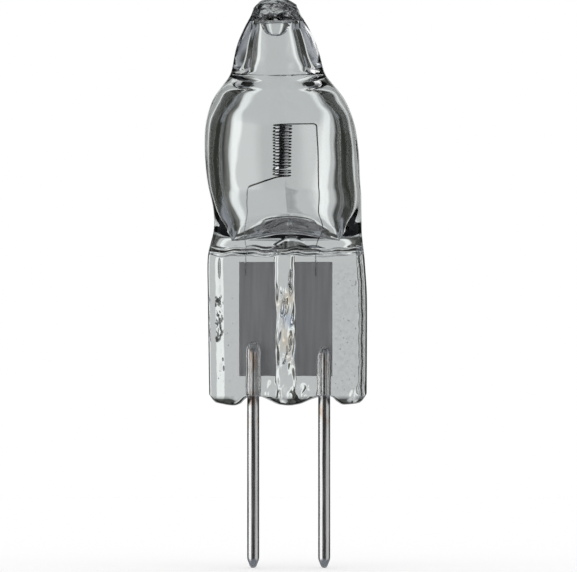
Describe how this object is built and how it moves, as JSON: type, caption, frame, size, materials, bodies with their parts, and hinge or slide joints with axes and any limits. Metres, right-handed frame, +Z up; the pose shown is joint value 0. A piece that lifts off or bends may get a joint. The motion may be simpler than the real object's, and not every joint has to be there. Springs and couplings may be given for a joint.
{
  "type": "halogen capsule bulb",
  "caption": "Halogen capsule bulb: a quartz bulb over a flat pinch seal, with a small coil inside, foils in the seal and straight contact pins below.",
  "frame": {"origin": "midway between the two pin axes, on the seating plane that touches the lowest glass", "axes": "+Z up along the pins towards the bulb, X from pin to pin across the flat seal, -Y towards the front, where the filament's leads lie before the foils"},
  "size_m": [0.0091, 0.0086, 0.0322],
  "materials": {
    "quartz": "clear fused quartz, fire-polished, with press marks on the seal",
    "tungsten": "dark drawn tungsten wire",
    "foil": "matt grey molybdenum foil",
    "pin_metal": "drawn molybdenum wire, grey with fine drawing lines"
  },
  "bodies": {
    "root": {"quartz_envelope": "quartz", "filament": "tungsten", "foil_left": "foil", "foil_right": "foil", "pin_left": "pin_metal", "pin_right": "pin_metal"}
  },
  "joints": []
}
